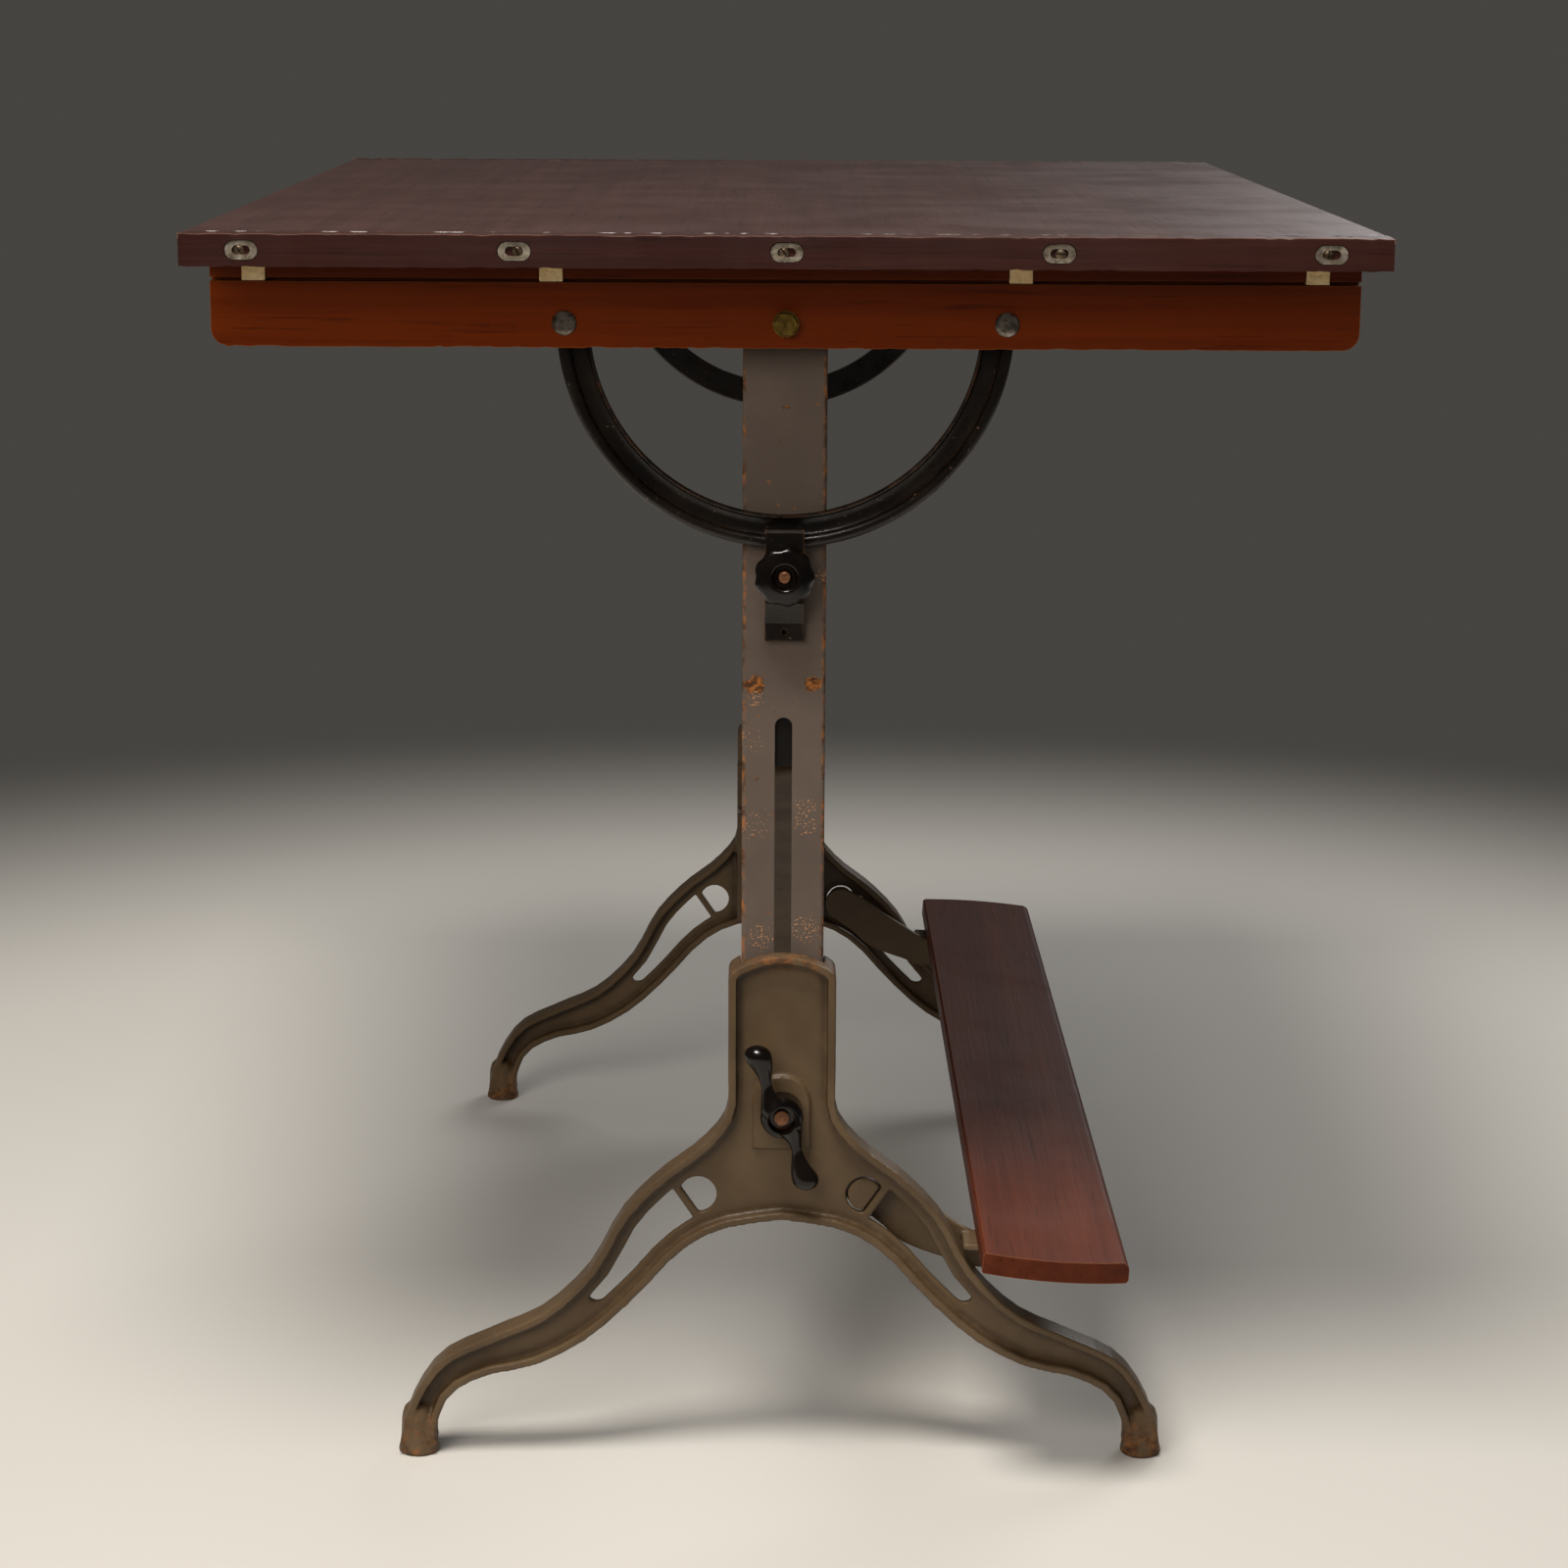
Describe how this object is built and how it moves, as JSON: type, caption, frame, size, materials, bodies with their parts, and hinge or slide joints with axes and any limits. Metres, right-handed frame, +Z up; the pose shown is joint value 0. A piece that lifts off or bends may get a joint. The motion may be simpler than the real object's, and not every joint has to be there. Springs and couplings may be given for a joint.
{
  "type": "drafting table",
  "caption": "Cast-iron drafting table with a tilting wooden board, telescoping posts, tilt arcs and a foot rest.",
  "frame": {"origin": "on the floor, at the middle of the table's bounding box", "axes": "+Z up, Y along the board's long side, +X towards the side with the foot rest"},
  "size_m": [0.9144, 1.2192, 1.02],
  "materials": {
    "board_wood": "dark red-brown varnish, glossy and worn",
    "batten_wood": "orange-brown varnish, satin",
    "rest_wood": "red-brown varnish, satin",
    "casting_paint": "olive-grey paint over cast iron, rubbed and rusty at the edges",
    "post_paint": "grey paint over rolled steel, chipped to rust along the edges",
    "black_iron": "black japan, worn to brown metal along the edges",
    "black_enamel": "gloss black enamel",
    "bolt_steel": "dull and slightly rusty",
    "brass_plate": "tarnished brass plating"
  },
  "bodies": {
    "stand": {"clamp_plate_back": "bolt_steel", "clamp_plate_front": "bolt_steel", "foot_rest_arm_back": "casting_paint", "foot_rest_arm_front": "casting_paint", "foot_rest_board": "rest_wood", "foot_rest_screw_1_back": "bolt_steel", "foot_rest_screw_1_front": "bolt_steel", "foot_rest_screw_2_back": "bolt_steel", "foot_rest_screw_2_front": "bolt_steel", "guide_keeper_back": "casting_paint", "guide_keeper_front": "casting_paint", "keeper_screw_1_back": "bolt_steel", "keeper_screw_1_front": "bolt_steel", "keeper_screw_2_back": "bolt_steel", "keeper_screw_2_front": "bolt_steel", "leg_casting_back": "casting_paint", "leg_casting_front": "casting_paint", "lock_bolt_back": "bolt_steel", "lock_bolt_front": "bolt_steel", "stretcher": "casting_paint", "stretcher_bolt_1_back": "bolt_steel", "stretcher_bolt_1_front": "bolt_steel", "stretcher_bolt_2_back": "bolt_steel", "stretcher_bolt_2_front": "bolt_steel"},
    "mast": {"clamp_strap_back": "black_iron", "clamp_strap_front": "black_iron", "clamp_stud_back": "bolt_steel", "clamp_stud_front": "bolt_steel", "cross_rail": "post_paint", "pivot_bolt_back": "brass_plate", "pivot_bolt_front": "brass_plate", "pivot_nut_back": "bolt_steel", "pivot_nut_front": "bolt_steel", "pivot_spacer_back": "bolt_steel", "pivot_spacer_front": "bolt_steel", "post_back": "post_paint", "post_front": "post_paint"},
    "board": {"arc_bolt_1_back": "bolt_steel", "arc_bolt_1_front": "bolt_steel", "arc_bolt_2_back": "bolt_steel", "arc_bolt_2_front": "bolt_steel", "batten_back": "batten_wood", "batten_front": "batten_wood", "board_clip_1_back": "brass_plate", "board_clip_1_front": "brass_plate", "board_clip_2_back": "brass_plate", "board_clip_2_front": "brass_plate", "board_clip_3_back": "brass_plate", "board_clip_3_front": "brass_plate", "board_clip_4_back": "brass_plate", "board_clip_4_front": "brass_plate", "board_panel": "board_wood", "end_cleat_back": "board_wood", "end_cleat_front": "board_wood", "tilt_arc_back": "black_iron", "tilt_arc_front": "black_iron"},
    "tilt_knob_front": {"tilt_knob_front": "black_enamel"},
    "tilt_knob_back": {"tilt_knob_back": "black_enamel"},
    "lock_handle_front": {"lock_handle_front": "black_enamel"},
    "lock_handle_back": {"lock_handle_back": "black_enamel"}
  },
  "joints": [
    {"name": "height_slide", "type": "slide", "parent": "stand", "child": "mast", "axis": [0, 0, 1], "range_m": [-0.2, 0.03]},
    {"name": "board_tilt", "type": "hinge", "parent": "mast", "child": "board", "pos_m": [0, 0, 0.947], "axis": [0, 1, 0], "range_deg": [-70, 70]},
    {"name": "tilt_knob_front_turn", "type": "hinge", "parent": "mast", "child": "tilt_knob_front", "pos_m": [0, -0.52, 0.748], "axis": [0, -1, 0], "continuous": true},
    {"name": "tilt_knob_back_turn", "type": "hinge", "parent": "mast", "child": "tilt_knob_back", "pos_m": [0, 0.52, 0.748], "axis": [0, 1, 0], "continuous": true},
    {"name": "lock_handle_front_turn", "type": "hinge", "parent": "stand", "child": "lock_handle_front", "pos_m": [0, -0.52, 0.3005], "axis": [0, -1, 0], "continuous": true},
    {"name": "lock_handle_back_turn", "type": "hinge", "parent": "stand", "child": "lock_handle_back", "pos_m": [0, 0.52, 0.3005], "axis": [0, 1, 0], "continuous": true}
  ]
}
